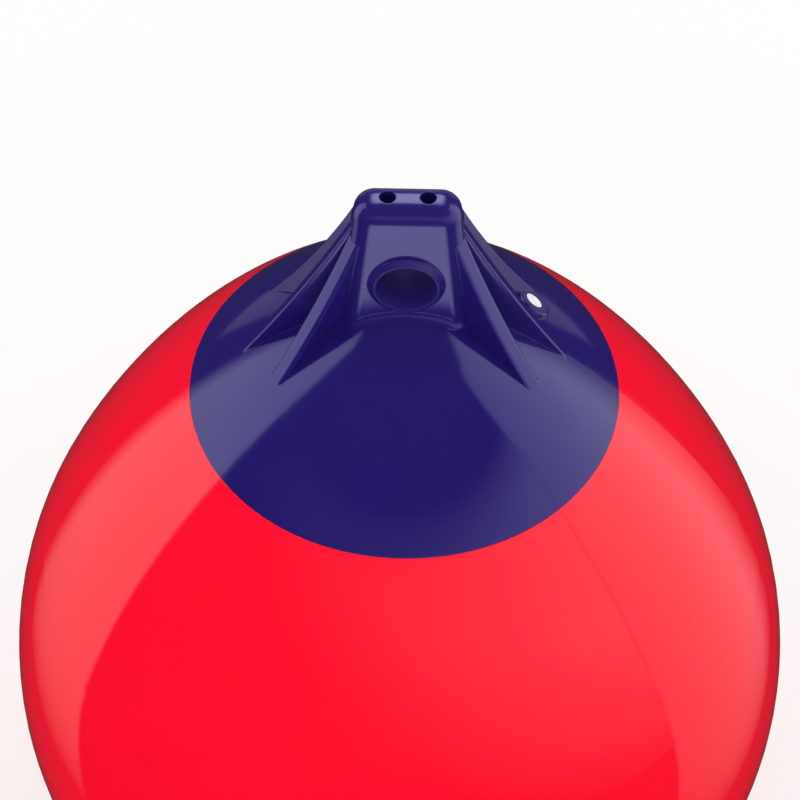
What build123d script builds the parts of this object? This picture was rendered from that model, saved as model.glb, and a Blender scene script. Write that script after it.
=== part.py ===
from build123d import *
import os
from math import acos, cos, degrees, hypot, radians, sin, tan

os.makedirs("parts", exist_ok=True)

# Inflatable mooring buoy, afloat and upright, in millimetres.
# +Z is up and the eye's bore runs along Y. The origin is on the buoy's
# axis, at the waterline of the empty, unloaded buoy.

# Overall sizes
body_diameter = 432.0
overall_length = 584.0
draft = 69.0
body_radius = body_diameter / 2
equator_z = body_radius - draft
head_top_z = overall_length - draft

# Walls
chamber_wall = 3.2
cap_skin = 3.0
cap_angle = 42.5             # outline's normal angle at the colour boundary
joggle_run = 6.0             # degrees over which the chamber wall steps in
overcut = 1.0                # how far a cutting shape runs past what it cuts
near = 0.01                  # places and angles this close count as the same
rounding = 1e-9

# Outline of the inflated body

# Each arc is tangent to the one before it, and the outline grows with the
# body. Angles are those of the outward normal above the horizontal, in degrees.
ARCS = [
    # name, radius for an underbody of 216, end angle
    ("underbody", 216.0, 0.0),
    ("shoulder", 239.0, 24.0),
    ("flank", 480.0, 45.0),
    ("neck", 324.0, 60.0),
]

# Head with the rope eye
head_half_thickness = 10.5   # at the top
face_draft = 4.0             # degrees by which the head's faces lean out downwards
head_half_width_top = 25.5
head_half_width_base = 33.5
head_sunk = 16.7             # how far the head's foot reaches below the crown's top
head_root_radius = 5.0       # fillet where the head meets the cap
head_corner_radius = 10.5
head_edge_radius = 9.5
eye_radius = 12.7
eye_rise = 18.6              # eye's centre above the crown's top
eye_straight_half = 9.0      # half length of the bore's straight wall
eye_mouth_radius = 15.2
lip_outer_radius = 19.3
lip_rim_radius = 16.2
lip_height = 2.2
lip_spread = 1.5             # the lip's cone is this much wider at mid-thickness
top_hole_radius = 4.0
top_hole_spacing = 19.6
top_hole_depth = 30.0

# Ribs, drawn for one side and repeated on the other
RIBS = [
    # name, start x, start y, foot x, foot y, drop below the head's top, dip, crest, foot, lean
    ("front", 24.0, -6.0, 68.0, -31.5, 18.0, 6.0, 9.0, 9.5, 0.105),
    ("middle", 24.0, 0.0, 85.5, 0.0, 12.0, 5.0, 6.0, 6.0, 0.0),
    ("back", 24.5, 5.5, 71.0, 41.0, 10.0, 6.0, 7.5, 5.5, 0.105),
]
rib_dip_share = 0.35         # where along its run a crest dips most
rib_end_share = 1.12         # a rib runs on this far, below the cap
rib_draft = 0.035            # each side widens by this share of the depth
rib_round = 0.22             # edge radius of a crest, as a share of its width
rib_root_depth = 60.0        # how far a rib's section reaches below its crest

# Inflation valve
valve_radial = 68.4
valve_azimuth = 20.3
boss_radius = 11.5
boss_height = 2.4
boss_taper = 20.0
boss_root = 3.0
boss_edge = 1.4
barrel_radius = 4.9
barrel_depth = 14.0
barrel_sunk = 0.4            # barrel's end below the boss's top
flange_radius = 9.0
flange_thickness = 2.4
plug_head_radius = 3.5
plug_head_thickness = 2.0
plug_shank_radius = 2.0
plug_shank_length = 9.0
plug_gap = 0.15
plug_slot_width = 1.0
plug_slot_depth = 1.0
seal_thickness = 0.8
seal_radius = 3.2
seal_hole_radius = 2.15


# Outline helpers
def outline_table():
    """Centre, radius and angle range of every arc, bottom pole to crown."""
    rows = [((0.0, equator_z), body_radius, -90.0, 0.0)]
    for _, drawn, end in ARCS[1:]:
        (r0, z0), r_prev, _, start = rows[-1]
        radius = drawn * body_radius / ARCS[0][1]
        shift = r_prev - radius
        centre = (r0 + shift * cos(radians(start)), z0 + shift * sin(radians(start)))
        rows.append((centre, radius, start, end))
    (r0, z0), r_prev, _, start = rows[-1]
    # The crown closes the outline on the axis, square to it.
    crown = r_prev + r0 / cos(radians(start))
    shift = r_prev - crown
    rows.append(((0.0, z0 + shift * sin(radians(start))), crown, start, 90.0))
    return rows


OUTLINE = outline_table()


def outline_point(angle, inset=0.0):
    """Point of the outline, moved inward by inset, where the normal has this angle."""
    for (r0, z0), radius, start, end in OUTLINE:
        if start <= angle <= end:
            reach = radius - inset
            return (r0 + reach * cos(radians(angle)), z0 + reach * sin(radians(angle)))


def outline_arcs(inset, first, last):
    """Draw the outline between two normal angles, moved inward by inset."""
    for centre, radius, start, end in OUTLINE:
        low = max(start, first)
        high = min(end, last)
        if high - low > near:
            CenterArc(centre, radius - inset, low, high - low)


def angle_at_radius(r):
    """Normal angle of the outline above the equator at distance r from the axis."""
    for (r0, z0), radius, start, end in OUTLINE[1:]:
        if r >= r0 + radius * cos(radians(end)) - rounding:
            return degrees(acos((r - r0) / radius))


crown_z = outline_point(90)[1]
head_base_z = crown_z - head_sunk
eye_z = crown_z + eye_rise
face_slope = tan(radians(face_draft))
head_half_base = head_half_thickness + face_slope * (head_top_z - head_base_z)
lip_face = head_half_thickness + face_slope * (head_top_z - eye_z)
valve_angle = angle_at_radius(valve_radial)

# Frame of the valve: origin on the outline, local Z out along its normal.
valve_r, valve_z = outline_point(valve_angle)
azimuth = radians(valve_azimuth)
elevation = radians(valve_angle)
valve_origin = (valve_r * cos(azimuth), valve_r * sin(azimuth), valve_z)
valve_axis = (
    cos(elevation) * cos(azimuth),
    cos(elevation) * sin(azimuth),
    sin(elevation),
)
valve_plane = Plane(origin=valve_origin, x_dir=(-sin(azimuth), cos(azimuth), 0), z_dir=valve_axis)
barrel_top = boss_height - barrel_sunk
seat_depth = plug_head_thickness + seal_thickness

# Air chamber: the hollow hull, joggled inward to take the cap flush
with BuildPart() as air_chamber:
    with BuildSketch(Plane.XZ):
        with BuildLine():
            outline_arcs(0, -90, cap_angle)
            Line(outline_point(cap_angle), outline_point(cap_angle, cap_skin))
            outline_arcs(cap_skin, cap_angle, 90)
            Line(outline_point(90, cap_skin), outline_point(90, cap_skin + chamber_wall))
            outline_arcs(cap_skin + chamber_wall, cap_angle, 90)
            Line(
                outline_point(cap_angle, cap_skin + chamber_wall),
                outline_point(cap_angle - joggle_run, chamber_wall),
            )
            outline_arcs(chamber_wall, -90, cap_angle - joggle_run)
            Line(outline_point(-90, chamber_wall), outline_point(-90))
        make_face()
    revolve(axis=Axis.Z)
    # The valve's barrel passes through the wall.
    with BuildSketch(valve_plane.offset(boss_height)):
        Circle(barrel_radius)
    extrude(amount=-boss_height - barrel_depth, mode=Mode.SUBTRACT)

# Ropehold: cap skin, head, ribs and valve boss, moulded in one piece
with BuildPart() as ropehold:
    # Cap skin over the top of the chamber.
    with BuildSketch(Plane.XZ):
        with BuildLine():
            outline_arcs(0, cap_angle, 90)
            Line(outline_point(90), outline_point(90, cap_skin))
            outline_arcs(cap_skin, cap_angle, 90)
            Line(outline_point(cap_angle, cap_skin), outline_point(cap_angle))
        make_face()
    revolve(axis=Axis.Z)
    # Head: a flat plate, wider at its root, with well-rounded top edges.
    with BuildPart(mode=Mode.PRIVATE) as head:
        with BuildSketch(Plane.XZ) as head_front:
            Polygon(
                (-head_half_width_base, head_base_z),
                (head_half_width_base, head_base_z),
                (head_half_width_top, head_top_z),
                (-head_half_width_top, head_top_z),
                align=None,
            )
            fillet(head_front.vertices().group_by(Axis.Y)[-1], head_corner_radius)
        extrude(amount=head_half_base + overcut, both=True)
        with BuildSketch(Plane.YZ):
            Polygon(
                (-head_half_base, head_base_z),
                (head_half_base, head_base_z),
                (head_half_thickness, head_top_z),
                (-head_half_thickness, head_top_z),
                align=None,
            )
        extrude(amount=head_half_width_base + overcut, both=True, mode=Mode.INTERSECT)
        rim = head.faces().group_by(Axis.Y)[0].edges() + head.faces().group_by(Axis.Y)[-1].edges()
        rim = [e for e in rim if e.bounding_box().max.Z > head_base_z + near]
        fillet(rim, head_edge_radius)
    add(head.part)
    # Fillet round the head's root: the edges where its walls meet the cap's outer skin.
    seam_radius = outline_point(ARCS[-1][2])[0]
    roots = []
    for edge in ropehold.edges():
        middle = edge.position_at(0.5)
        reach = hypot(middle.X, middle.Y)
        on_skin = abs(middle.Z - outline_point(angle_at_radius(reach))[1]) < near
        if on_skin and reach < head_half_width_base and abs(reach - seam_radius) > near:
            roots.append(edge)
    fillet(roots, head_root_radius)
    # Ribs from the head's sides down to the cap.
    for side in (-1, 1):
        for _, x0, y0, x1, y1, drop, dip, crest, foot, lean in RIBS:
            run = hypot(x1 - x0, y1 - y0)
            along = (side * (x1 - x0) / run, (y1 - y0) / run, 0)
            across = (-along[1], along[0], 0)
            foot_z = outline_point(angle_at_radius(hypot(x1, y1)))[1]
            start_z = head_top_z - drop
            # The root stands further out than the crest, away from the head's face.
            root_shift = lean * rib_root_depth * side * (1 if y1 < y0 else -1)
            for share, low in ((0, 0), (rib_dip_share, dip), (rib_end_share, 0)):
                x = side * (x0 + share * (x1 - x0))
                y = y0 + share * (y1 - y0)
                level = start_z + share * (foot_z - start_z) - low
                width = crest + share * (foot - crest)
                root = width + 2 * rib_draft * rib_root_depth
                plane = Plane(origin=(x, y, level), x_dir=across, z_dir=along)
                with BuildSketch(plane) as section:
                    Polygon(
                        (root_shift - root / 2, -rib_root_depth),
                        (root_shift + root / 2, -rib_root_depth),
                        (width / 2, 0),
                        (-width / 2, 0),
                        align=None,
                    )
                    fillet(section.vertices().group_by(Axis.Y)[-1], rib_round * width)
            loft()
    # Boss round the valve.
    with BuildPart(mode=Mode.PRIVATE) as boss:
        with BuildSketch(valve_plane.offset(-boss_root)):
            Circle(boss_radius)
        extrude(amount=boss_root + boss_height, taper=boss_taper)
        rims = boss.edges().filter_by(GeomType.CIRCLE)
        fillet(min(rims, key=lambda e: e.radius), boss_edge)
    add(boss.part)
    # Raised lip of the eye, drawn as a half section and turned about the bore.
    with BuildSketch(Plane.XY.offset(eye_z)):
        for face_side in (-1, 1):
            with BuildLine():
                Polyline(
                    (0, 0),
                    (lip_outer_radius + lip_spread, 0),
                    (lip_outer_radius, face_side * lip_face),
                    (lip_rim_radius, face_side * (lip_face + lip_height)),
                    (0, face_side * (lip_face + lip_height)),
                    close=True,
                )
            make_face()
    revolve(axis=Axis((0, 0, eye_z), (0, 1, 0)))
    # Trim everything that would reach into the chamber below the cap.
    with BuildSketch(Plane.XZ):
        with BuildLine():
            outline_arcs(cap_skin, -90, 90)
            Line(outline_point(90, cap_skin), outline_point(-90, cap_skin))
        make_face()
    revolve(axis=Axis.Z, mode=Mode.SUBTRACT)
    # The eye's bore: straight in the middle, drafted open to both mouths.
    mouth = lip_face + lip_height
    with BuildSketch(Plane.XY.offset(eye_z)):
        for face_side in (-1, 1):
            with BuildLine():
                Polyline(
                    (0, 0),
                    (eye_radius, 0),
                    (eye_radius, face_side * eye_straight_half),
                    (eye_mouth_radius, face_side * mouth),
                    (eye_mouth_radius, face_side * (mouth + overcut)),
                    (0, face_side * (mouth + overcut)),
                    close=True,
                )
            make_face()
    revolve(axis=Axis((0, 0, eye_z), (0, 1, 0)), mode=Mode.SUBTRACT)
    # Two blind holes in the head's top.
    with BuildSketch(Plane.XY.offset(head_top_z)):
        with GridLocations(top_hole_spacing, 1, 2, 1):
            Circle(top_hole_radius)
    extrude(amount=-top_hole_depth, mode=Mode.SUBTRACT)
    # The valve's barrel passes through boss and skin.
    with BuildSketch(valve_plane.offset(boss_height + 2 * overcut)):
        Circle(barrel_radius)
    extrude(amount=-boss_height - barrel_depth, mode=Mode.SUBTRACT)

# Valve body: a barrel through the wall with a flange inside the chamber
with BuildPart() as valve_body:
    with BuildSketch(valve_plane.offset(barrel_top)):
        Circle(barrel_radius)
    extrude(amount=-barrel_top - barrel_depth)
    with BuildPart(mode=Mode.PRIVATE) as flange:
        with BuildSketch(valve_plane.offset(-cap_skin - chamber_wall + overcut)):
            Circle(flange_radius)
        extrude(amount=-flange_thickness - overcut)
        with BuildSketch(Plane.XZ):
            with BuildLine():
                outline_arcs(cap_skin + chamber_wall, -90, 90)
                Line(
                    outline_point(90, cap_skin + chamber_wall),
                    outline_point(-90, cap_skin + chamber_wall),
                )
            make_face()
        revolve(axis=Axis.Z, mode=Mode.INTERSECT)
    add(flange.part)
    # Counterbore for the plug's head and seal, then the plug's bore.
    with BuildSketch(valve_plane.offset(barrel_top)):
        Circle(plug_head_radius + plug_gap)
    extrude(amount=-seat_depth, mode=Mode.SUBTRACT)
    with BuildSketch(valve_plane.offset(barrel_top)):
        Circle(plug_shank_radius + plug_gap)
    extrude(amount=-barrel_top - barrel_depth, mode=Mode.SUBTRACT)

# Valve seal: a soft washer under the plug's head
with BuildPart() as valve_seal:
    with BuildSketch(valve_plane.offset(barrel_top - seat_depth)):
        Circle(seal_radius)
        Circle(seal_hole_radius, mode=Mode.SUBTRACT)
    extrude(amount=seal_thickness)

# Valve plug: a slotted screw plug, its threads left plain
with BuildPart() as valve_plug:
    with BuildSketch(valve_plane.offset(barrel_top)):
        Circle(plug_head_radius)
    extrude(amount=-plug_head_thickness)
    with BuildSketch(valve_plane.offset(barrel_top - plug_head_thickness)):
        Circle(plug_shank_radius)
    extrude(amount=-plug_shank_length)
    with BuildSketch(valve_plane.offset(barrel_top)):
        Rectangle(2 * plug_head_radius + overcut, plug_slot_width)
    extrude(amount=-plug_slot_depth, mode=Mode.SUBTRACT)

air_chamber.part.label = "air_chamber"
ropehold.part.label = "ropehold"
valve_body.part.label = "valve_body"
valve_seal.part.label = "valve_seal"
valve_plug.part.label = "valve_plug"

export_step(air_chamber.part, "parts/air_chamber.step")
export_step(ropehold.part, "parts/ropehold.step")
export_step(valve_body.part, "parts/valve_body.step")
export_step(valve_seal.part, "parts/valve_seal.step")
export_step(valve_plug.part, "parts/valve_plug.step")

for built in (air_chamber, ropehold, valve_body, valve_seal, valve_plug):
    box = built.part.bounding_box()
    print(
        built.part.label,
        "solids", len(built.part.solids()),
        "volume", round(built.part.volume),
        "z", round(box.min.Z, 2), round(box.max.Z, 2),
        "x", round(box.min.X, 2), round(box.max.X, 2),
    )
print("valve at", [round(v, 5) for v in valve_origin], "axis", [round(v, 5) for v in valve_axis])
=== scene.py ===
# %% [markdown]
# # An inflatable mooring buoy
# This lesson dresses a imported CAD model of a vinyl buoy: a glossy red air
# chamber, a deep blue cap with a ribbed head and a rope eye, and a white
# valve. The model's solids are already at their real size and place, so the
# work here is light, camera and finish.

from math import cos, radians, sin

import bpy
from mathutils import Matrix, Vector

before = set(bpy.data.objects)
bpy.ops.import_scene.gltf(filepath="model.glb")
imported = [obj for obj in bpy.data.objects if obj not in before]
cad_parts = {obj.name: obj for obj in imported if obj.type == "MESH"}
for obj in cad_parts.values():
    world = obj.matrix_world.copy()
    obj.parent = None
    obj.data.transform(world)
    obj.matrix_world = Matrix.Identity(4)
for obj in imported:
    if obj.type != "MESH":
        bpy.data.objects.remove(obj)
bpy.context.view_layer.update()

# %% [markdown]
# ## Helpers
# Colours are written as sRGB hex values, the way a paint chart gives them.
# Blender's shaders work on linear light, so one function converts them. A
# second small function adds a shader node, sets its values and links it, which
# keeps each material short enough to read as a recipe.

# %% Two helpers
def linear(hex_colour):
    """sRGB hex, such as #2A1A75, to the linear RGBA that shaders use."""
    out = []
    for i in (1, 3, 5):
        c = int(hex_colour[i : i + 2], 16) / 255
        out.append(c / 12.92 if c <= 0.04045 else ((c + 0.055) / 1.055) ** 2.4)
    return (*out, 1.0)


def add(tree, kind, values=None, links=None, **settings):
    """Add a node: settings are its own options, values fill sockets, links join them."""
    node = tree.nodes.new(kind)
    for name, value in settings.items():
        setattr(node, name, value)
    for name, value in (values or {}).items():
        node.inputs[name].default_value = value
    for name, socket in (links or {}).items():
        tree.links.new(socket, node.inputs[name])
    return node


print("check: mid grey #808080 is", round(linear("#808080")[0], 3), "in linear light")

# %% [markdown]
# ## Camera
# The view looks down on the head from the front, through a long lens, so the
# round body is cropped by the frame. The camera has no lens shift: it is simply
# tilted up from the body's centre until the head sits near the top. Distance,
# angles and focal length were fitted together, until the head, the cap's edge
# and the body's outline all fell where they should.

# %% Camera
EQUATOR_Z = 0.147          # height of the widest circle above the waterline
CAMERA_DISTANCE = 1.780    # from the centre of that circle
CAMERA_ELEVATION = 54.68   # degrees above the horizontal
CAMERA_TILT_UP = 4.44      # degrees, and so are the next two
CAMERA_YAW = 0.12
CAMERA_ROLL = 0.99
IMAGE_WIDTH = 800
FOCAL_PIXELS = 3102.7      # focal length, on an image of that width
SENSOR_MM = 36.0
FARTHEST = 50              # metres

elevation = radians(CAMERA_ELEVATION)
camera_data = bpy.data.cameras.new("camera")
camera_data.sensor_width = SENSOR_MM
camera_data.lens = SENSOR_MM * FOCAL_PIXELS / IMAGE_WIDTH
camera_data.clip_end = FARTHEST
camera = bpy.data.objects.new("camera", camera_data)
bpy.context.collection.objects.link(camera)
place = Vector((0, -CAMERA_DISTANCE * cos(elevation), EQUATOR_Z + CAMERA_DISTANCE * sin(elevation)))
aim = (
    Matrix.Rotation(radians(CAMERA_YAW), 4, "Z")
    @ Matrix.Rotation(radians(90 - CAMERA_ELEVATION + CAMERA_TILT_UP), 4, "X")
    @ Matrix.Rotation(radians(CAMERA_ROLL), 4, "Z")
)
camera.matrix_world = Matrix.Translation(place) @ aim
bpy.context.scene.camera = camera
print("camera at", [round(v, 3) for v in place], "lens", round(camera_data.lens, 1), "mm")

# %% [markdown]
# ## Floor
# The buoy floats, so the floor is the water's surface: a pale disc through the
# origin that hides the hull below the waterline. It is a sheet of matt white
# paper, rough enough to show no gloss at all.

# %% Floor sheet
FLOOR_RADIUS = 2.4
PAPER_ROUGHNESS = 0.9
PAPER_SHEEN = 0.1
bpy.ops.mesh.primitive_circle_add(vertices=128, radius=FLOOR_RADIUS, fill_type="NGON", location=(0, 0, 0))
floor = bpy.context.object
floor.name = "floor"
paper = bpy.data.materials.new("matt_white_paper")
paper.use_nodes = True
sheet = paper.node_tree
lit = sheet.nodes["Principled BSDF"]
lit.inputs["Base Color"].default_value = linear("#F7F7F7")
lit.inputs["Roughness"].default_value = PAPER_ROUGHNESS
lit.inputs["Specular IOR Level"].default_value = PAPER_SHEEN
floor.data.materials.append(paper)
print("floor radius", FLOOR_RADIUS, "m at the waterline")

# %% [markdown]
# ## White backdrop
# A studio backdrop is lit until it is nearly white in the picture. More lamps
# would do that here too, but would wash out the object's colours. The Light
# Path node tells which rays look at the paper, and mixes pure white in for
# those alone, while enough of the lit paper stays to hold the shadow. Glossy
# vinyl would mirror the whole sheet and turn its sides milky. A photographer
# stops that with black flags, and here the floor is left out of reflections.

# %% White backdrop
BACKDROP_SHARE = 0.6       # how much of the paper's look is pure white
rays = add(sheet, "ShaderNodeLightPath")
seen = rays.outputs["Is Camera Ray"]
for kind in ("Is Glossy Ray", "Is Transmission Ray"):
    either = {0: seen, 1: rays.outputs[kind]}
    seen = add(sheet, "ShaderNodeMath", {}, either, operation="MAXIMUM").outputs[0]
share = add(sheet, "ShaderNodeMath", {1: BACKDROP_SHARE}, {0: seen}, operation="MULTIPLY")
white = add(sheet, "ShaderNodeEmission", {"Color": linear("#FFFFFF"), "Strength": 1.0})
both = add(sheet, "ShaderNodeMixShader", {}, {0: share.outputs[0], 1: lit.outputs[0], 2: white.outputs[0]})
sheet.links.new(both.outputs[0], sheet.nodes["Material Output"].inputs["Surface"])
floor.visible_glossy = False
print("backdrop white for", BACKDROP_SHARE, "of its look")

# %% [markdown]
# ## World
# The world is an even white room, and it gives nearly all of the light that
# falls on the object, which is why the colours render as they are written.
# Mirror reflections are another matter. The real room was dark round the
# buoy, and only the soft boxes below stand in it, so glossy rays find a dim
# world.

# %% World
bpy.context.scene.view_settings.view_transform = "Standard"
ROOM = 1.08
ROOM_IN_MIRROR = 0.03
world = bpy.data.worlds.new("studio")
bpy.context.scene.world = world
world.use_nodes = True
sky = world.node_tree
sky.nodes.clear()
rays = add(sky, "ShaderNodeLightPath")
room = add(sky, "ShaderNodeBackground", {"Color": linear("#FFFFFF"), "Strength": ROOM})
dim = add(sky, "ShaderNodeBackground", {"Color": linear("#FFFFFF"), "Strength": ROOM_IN_MIRROR})
pick = {0: rays.outputs["Is Glossy Ray"], 1: room.outputs[0], 2: dim.outputs[0]}
mix = add(sky, "ShaderNodeMixShader", {}, pick)
add(sky, "ShaderNodeOutputWorld", {}, {"Surface": mix.outputs[0]})
print("world strength", ROOM, "and", ROOM_IN_MIRROR, "in mirror reflections")

# %% [markdown]
# ## Soft boxes
# A glossy round body shows its lamps as shapes, so the boxes are laid out for
# their reflections. Each place was worked out backwards, from a point on the
# body where a box's edge has to show, along the mirrored ray. A tall box
# stands at each side, from the widest part to well behind it, and fades
# towards its foot. A big one hangs behind and above for the head's flat top,
# over a dim back wall, and a low card in front lights the head's face. They
# are flat sheets that glow, because a lamp object has one strength all over
# while a real soft box fades towards its ends. Only mirror rays see them.

# %% Where the boxes stand
BOXES = [
    # name, centre, facing, (width, height), (strength at left, at right),
    # (faded share at left, right, foot, top), with left and right as the buoy sees them
    ("left_box", (-1.0, 0.33, 0.425), (0, 0.33, 0.425), (0.8, 2.35), (1.45, 1.3), (0.02, 0.20, 0.57, 0.01)),
    ("right_box", (1.0, 0.25, 0.35), (0, 0.25, 0.35), (1.16, 2.50), (1.95, 0.90), (0.30, 0.01, 0.58, 0.01)),
    ("top_box", (0, 0.83, 1.97), (0, 0, 0.50), (1.30, 1.60), (3.7, 3.7), (0.30, 0.30, 0.10, 0.40)),
    ("back_wall", (0, 1.45, 0.55), (0, 0, 0.55), (2.60, 1.10), (0.30, 0.30), (0.05, 0.05, 0.01, 0.01)),
    ("front_card", (0, -0.62, 0.004), (0, -0.62, 1.0), (0.56, 0.64), (1.8, 1.8), (0.20, 0.20, 0.20, 0.20)),
]
print(len(BOXES), "soft boxes and cards")


# %% Glowing cloth
def cloth(name):
    """An empty material for a soft box."""
    material = bpy.data.materials.new(name)
    material.use_nodes = True
    material.node_tree.nodes.clear()
    return material


def glow_only(item, power, tree):
    """Make a sheet glow by this strength, for mirror rays only."""
    glow = add(tree, "ShaderNodeEmission", {"Color": linear("#FFFFFF")}, {"Strength": power})
    add(tree, "ShaderNodeOutputMaterial", {}, {"Surface": glow.outputs[0]})
    item.visible_camera = False
    item.visible_diffuse = False
    item.visible_shadow = False


# %% Hang the boxes
def soft_box(name, centre, facing, size, strength, faded):
    """A glowing sheet that faces a point, stronger at one end and faded at its edges."""
    bpy.ops.mesh.primitive_plane_add(size=1, location=centre)
    box = bpy.context.object
    box.name = name
    box.scale = (*size, 1)
    box.rotation_euler = (Vector(facing) - Vector(centre)).to_track_quat("Z", "Y").to_euler()
    material = cloth(name + "_cloth")
    box.data.materials.append(material)
    tree = material.node_tree
    place = add(tree, "ShaderNodeTexCoord").outputs["Generated"]
    split = add(tree, "ShaderNodeSeparateXYZ", {}, {0: place})
    across = split.outputs["X"]
    up = split.outputs["Y"]
    ends = {"To Min": strength[0], "To Max": strength[1]}
    power = add(tree, "ShaderNodeMapRange", ends, {"Value": across}).outputs["Result"]
    left, right, foot, top = faded
    for where, start, end in (
        (across, 0, left),
        (across, 1, 1 - right),
        (up, 0, foot),
        (up, 1, 1 - top),
    ):
        edge = add(tree, "ShaderNodeMapRange", {"From Min": start, "From Max": end}, {"Value": where})
        factors = {0: power, 1: edge.outputs["Result"]}
        power = add(tree, "ShaderNodeMath", {}, factors, operation="MULTIPLY").outputs[0]
    glow_only(box, power, tree)


for row in BOXES:
    soft_box(*row)
    print(row[0], "at", row[1])

# %% [markdown]
# ## Front wall
# Between the boxes the room isn't quite dark. It brightens steadily from the
# left, round the front, to the right box, and it is darkest near its foot. A
# curved wall does this with one rule, because its angle round the buoy can be
# read off its points. It is made from a list of points, two for each step of
# the turn, which is the plainest way to a strip of a cylinder.

# %% Wall's shape
WALL_RADIUS = 1.30
WALL_LOW = -1.0
WALL_HIGH = 1.7
WALL_FROM = -90.0          # degrees from the front, + to the right
WALL_TO = 74.0
WALL_STEPS = 48
points = []
quads = []
for i in range(WALL_STEPS + 1):
    turn = radians(WALL_FROM + (WALL_TO - WALL_FROM) * i / WALL_STEPS)
    for z in (WALL_LOW, WALL_HIGH):
        points.append((WALL_RADIUS * sin(turn), -WALL_RADIUS * cos(turn), z))
for i in range(WALL_STEPS):
    quads.append((2 * i, 2 * i + 1, 2 * i + 3, 2 * i + 2))
mesh = bpy.data.meshes.new("front_wall")
mesh.from_pydata(points, [], quads)
wall = bpy.data.objects.new("front_wall", mesh)
bpy.context.collection.objects.link(wall)
print("front wall from", WALL_FROM, "to", WALL_TO, "degrees,", len(quads), "faces")

# %% Wall's glow round the buoy
WALL_DARK = 0.06           # strength at the left end
WALL_BRIGHT = 0.95         # strength at the right end
WALL_CURVE = 2.0           # it brightens by this power of the turn
wall_cloth = cloth("front_wall_cloth")
mesh.materials.append(wall_cloth)
tree = wall_cloth.node_tree
split = add(tree, "ShaderNodeSeparateXYZ", {}, {0: add(tree, "ShaderNodeTexCoord").outputs["Object"]})
toward = add(tree, "ShaderNodeMath", {1: -1.0}, {0: split.outputs["Y"]}, operation="MULTIPLY")
turn = add(tree, "ShaderNodeMath", {}, {0: split.outputs["X"], 1: toward.outputs[0]}, operation="ARCTAN2")
ends = {"From Min": radians(WALL_FROM), "From Max": radians(WALL_TO)}
round_share = add(tree, "ShaderNodeMapRange", ends, {"Value": turn.outputs[0]})
bend = add(tree, "ShaderNodeMath", {1: WALL_CURVE}, {0: round_share.outputs["Result"]}, operation="POWER")
scale = {1: WALL_BRIGHT - WALL_DARK, 2: WALL_DARK}
level = add(tree, "ShaderNodeMath", scale, {0: bend.outputs[0]}, operation="MULTIPLY_ADD")
print("front wall glows from", WALL_DARK, "to", WALL_BRIGHT)

# %% Wall's glow up and down
RISE = (0.3, 0.85)         # heights between which the foot's shade ends
RISE_LEAST = 0.05          # what is left of the glow below that
FALL = (1.0, 1.35)         # heights between which the glow ends
FOOT_TILT = 0.4            # metres by which the shade drops for each radian to the right
slant = {0: turn.outputs[0], 2: split.outputs["Z"]}
height = add(tree, "ShaderNodeMath", {1: FOOT_TILT}, slant, operation="MULTIPLY_ADD")
upward = {"From Min": RISE[0], "From Max": RISE[1], "To Min": RISE_LEAST, "To Max": 1.0}
rise = add(tree, "ShaderNodeMapRange", upward, {"Value": height.outputs[0]})
downward = {"From Min": FALL[0], "From Max": FALL[1], "To Min": 1.0, "To Max": 0.0}
fall = add(tree, "ShaderNodeMapRange", downward, {"Value": split.outputs["Z"]})
power = level.outputs[0]
for part in (rise, fall):
    factors = {0: power, 1: part.outputs["Result"]}
    power = add(tree, "ShaderNodeMath", {}, factors, operation="MULTIPLY").outputs[0]
glow_only(wall, power, tree)
print("front wall shaded below", RISE[1], "m and above", FALL[0], "m")

# %% [markdown]
# ## Vinyl
# Both coloured parts are flexible PVC, moulded hot and hardly textured, so they
# shine like a boiled sweet: an IOR near 1.53 and a low roughness. What gives
# the real thing away is that the shine isn't perfect. The wall is a few
# millimetres of soft plastic held out by air, so reflections ripple gently.
# A texture in the shader is enough for that, because the ripple is far too
# shallow to change the outline. One recipe serves both colours.

# %% Vinyl recipe
VINYL_IOR = 1.53
CLOUD_MM = 80              # size of the pigment's clouds
EDGE_MM = 0.8              # edges are never sharp in a moulding
RIPPLE_LENGTH_MM = 45      # of the blown wall, crest to crest
PEEL_LENGTH_MM = 1.5       # of the mould's surface


def vinyl(name, colour, shade, ripple_mm, peel_mm):
    """Glossy moulded PVC. Ripple and peel are the depths of its two kinds of relief."""
    material = bpy.data.materials.new(name)
    material.use_nodes = True
    tree = material.node_tree
    shader = tree.nodes["Principled BSDF"]
    shader.inputs["IOR"].default_value = VINYL_IOR
    place = add(tree, "ShaderNodeTexCoord").outputs["Object"]
    clouds = add(tree, "ShaderNodeTexNoise", {"Scale": 1000 / CLOUD_MM, "Detail": 3.0}, {"Vector": place})
    pigments = {6: linear(colour), 7: linear(shade)}
    tint = add(tree, "ShaderNodeMix", pigments, {0: clouds.outputs["Fac"]}, data_type="RGBA")
    tree.links.new(tint.outputs[2], shader.inputs["Base Color"])
    normal = add(tree, "ShaderNodeBevel", {"Radius": EDGE_MM / 1000}, samples=6).outputs["Normal"]
    for length_mm, detail, depth_mm in (
        (RIPPLE_LENGTH_MM, 1.0, ripple_mm),
        (PEEL_LENGTH_MM, 2.0, peel_mm),
    ):
        fine = {"Scale": 1000 / length_mm, "Detail": detail}
        relief = add(tree, "ShaderNodeTexNoise", fine, {"Vector": place})
        depth = {"Strength": 1.0, "Distance": depth_mm / 1000}
        bump = add(tree, "ShaderNodeBump", depth, {"Height": relief.outputs["Fac"], "Normal": normal})
        normal = bump.outputs["Normal"]
    tree.links.new(normal, shader.inputs["Normal"])
    return material


print("vinyl recipe: IOR", VINYL_IOR, "with", EDGE_MM, "mm of rounding on its edges")

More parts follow.
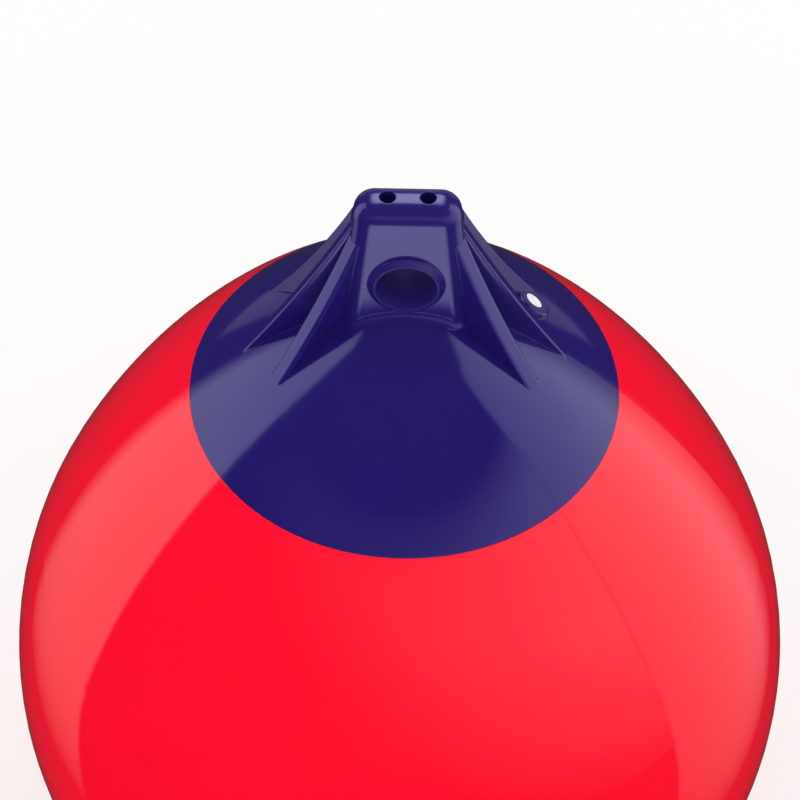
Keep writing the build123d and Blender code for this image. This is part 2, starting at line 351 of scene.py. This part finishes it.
# %% [markdown]
# ## Dull patches
# Hands, ropes and hulls rub vinyl a little dull, in patches of a few
# centimetres. A noise texture steers the roughness between a glossy and a dull
# value, which breaks up the lamps' reflections just enough.

# %% Dull patches
PATCH_MM = 30
PATCH_RANGE = (0.35, 0.75)  # of the noise, from all gloss to all dull


def dulled(material, gloss, dull):
    """Roughness from gloss to dull, in handling patches."""
    tree = material.node_tree
    place = add(tree, "ShaderNodeTexCoord").outputs["Object"]
    patches = add(tree, "ShaderNodeTexNoise", {"Scale": 1000 / PATCH_MM, "Detail": 5.0}, {"Vector": place})
    span = {"From Min": PATCH_RANGE[0], "From Max": PATCH_RANGE[1], "To Min": gloss, "To Max": dull}
    rough = add(tree, "ShaderNodeMapRange", span, {"Value": patches.outputs["Fac"]})
    return rough.outputs["Result"]


print("patches of about", PATCH_MM, "mm")

# %% [markdown]
# ## Air chamber
# The hull is a red vinyl bladder, moulded in a polished mould and blown up
# tight. Its colour is nearly the purest red a screen can show, with a trace of
# pink. It is the glossiest part, so its roughness is the lowest.

# %% Red vinyl
red_vinyl = vinyl("red_vinyl", "#FF0D30", "#FA0A2C", ripple_mm=0.06, peel_mm=0.002)
red_tree = red_vinyl.node_tree
red_tree.links.new(dulled(red_vinyl, 0.06, 0.09), red_tree.nodes["Principled BSDF"].inputs["Roughness"])
print("red vinyl, roughness 0.06 to 0.09")

# %% [markdown]
# ## Cap and head
# The cap is a stiffer vinyl in a deep violet blue. Its shine is stronger than
# plain PVC's and a little blue itself, so the specular level goes up and is
# tinted. The head comes out of a blasted mould, so its gloss falls off above
# the cap. The bore of the eye was left by a core pin and is nearly matt, and its
# specular level is turned down there as painted shade in the recess. These changes
# are read from the place on the object, by height and by the distance from the bore's axis.

# %% Blue vinyl
CAP_SHEEN = 0.8
blue_vinyl = vinyl("blue_vinyl", "#24166A", "#221562", ripple_mm=0.02, peel_mm=0.003)
blue_tree = blue_vinyl.node_tree
blue_shader = blue_tree.nodes["Principled BSDF"]
blue_shader.inputs["Specular Tint"].default_value = linear("#CECEFF")
cap_rough = dulled(blue_vinyl, 0.09, 0.13)
print("blue vinyl, roughness 0.09 to 0.13 on the cap")

# %% Satin head
SATIN_HEIGHTS = (0.42, 0.47)  # from the cap's gloss to the head's
SATIN_ADDS = 0.08
place = add(blue_tree, "ShaderNodeTexCoord").outputs["Object"]
spot = add(blue_tree, "ShaderNodeSeparateXYZ", {}, {0: place})
span = {"From Min": SATIN_HEIGHTS[0], "From Max": SATIN_HEIGHTS[1], "To Min": 0.0, "To Max": SATIN_ADDS}
satin = add(blue_tree, "ShaderNodeMapRange", span, {"Value": spot.outputs["Z"]})
print("the head's roughness is", SATIN_ADDS, "more than the cap's")

# %% Matt bore, with painted shade on its sheen
EYE_Z = 0.4663             # height of the eye's centre
BORE_RADIUS = 0.0165       # a little more than the bore's mouth
BORE_EDGE = 0.002          # width over which the finish changes
BORE_ADDS = 0.55
# the bore's specular level, turned down as painted shade in the recess
BORE_SHADED_SHEEN = 0.15
drop = add(blue_tree, "ShaderNodeMath", {1: EYE_Z}, {0: spot.outputs["Z"]}, operation="SUBTRACT")
flat = add(blue_tree, "ShaderNodeCombineXYZ", {}, {"X": spot.outputs["X"], "Y": drop.outputs[0]})
reach = add(blue_tree, "ShaderNodeVectorMath", {}, {0: flat.outputs[0]}, operation="LENGTH")
inner = BORE_RADIUS - BORE_EDGE
rough_span = {"From Min": inner, "From Max": BORE_RADIUS, "To Min": BORE_ADDS, "To Max": 0.0}
bore = add(blue_tree, "ShaderNodeMapRange", rough_span, {"Value": reach.outputs["Value"]})
# Inside the bore the specular level drops from the cap's to a low value: this is painted shade in the
# recess.
painted_bore_shade_span = {"From Min": inner, "From Max": BORE_RADIUS, "To Min": BORE_SHADED_SHEEN, "To Max": CAP_SHEEN}
sheen_with_painted_bore_shade = add(blue_tree, "ShaderNodeMapRange", painted_bore_shade_span, {"Value": reach.outputs["Value"]})
rough = cap_rough
for part in (satin, bore):
    terms = {0: rough, 1: part.outputs["Result"]}
    rough = add(blue_tree, "ShaderNodeMath", {}, terms, operation="ADD").outputs[0]
blue_tree.links.new(rough, blue_shader.inputs["Roughness"])
blue_tree.links.new(sheen_with_painted_bore_shade.outputs["Result"], blue_shader.inputs["Specular IOR Level"])
print("the bore's roughness is", BORE_ADDS, "more again, inside", BORE_RADIUS, "m of its axis")

# %% [markdown]
# ## Put the vinyl on
# Each CAD node is one moulded piece in one colour, so it takes one material.

# %% Put the vinyl on
def finish(node, material):
    """Give every material slot of a CAD node this finish."""
    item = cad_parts[node]
    item.data.materials.clear()
    item.data.materials.append(material)
    print(node, "is", material.name)


finish("air_chamber", red_vinyl)
finish("ropehold", blue_vinyl)

# %% [markdown]
# ## Valve
# The valve is white nylon, moulded and slightly waxy, and its plug closes on a
# soft black rubber washer. Both keep the shader's own IOR of 1.5, which is
# close to nylon's and rubber's. The mould's fine grain only shows up close.

# %% Valve finishes
GRAIN_DEPTH_MM = 0.05
GRAIN_STRENGTH = 0.3


def moulded(name, colour, roughness, grain_mm):
    """A plain moulded plastic or rubber with a fine grain."""
    material = bpy.data.materials.new(name)
    material.use_nodes = True
    tree = material.node_tree
    shader = tree.nodes["Principled BSDF"]
    shader.inputs["Base Color"].default_value = linear(colour)
    shader.inputs["Roughness"].default_value = roughness
    place = add(tree, "ShaderNodeTexCoord").outputs["Object"]
    grain = add(tree, "ShaderNodeTexNoise", {"Scale": 1000 / grain_mm, "Detail": 2.0}, {"Vector": place})
    depth = {"Strength": GRAIN_STRENGTH, "Distance": GRAIN_DEPTH_MM / 1000}
    bump = add(tree, "ShaderNodeBump", depth, {"Height": grain.outputs["Fac"]})
    tree.links.new(bump.outputs["Normal"], shader.inputs["Normal"])
    return material


white_nylon = moulded("white_nylon", "#FCFDFC", roughness=0.35, grain_mm=0.6)
black_rubber = moulded("black_rubber", "#141414", roughness=0.6, grain_mm=0.5)
finish("valve_body", white_nylon)
finish("valve_plug", white_nylon)
finish("valve_seal", black_rubber)
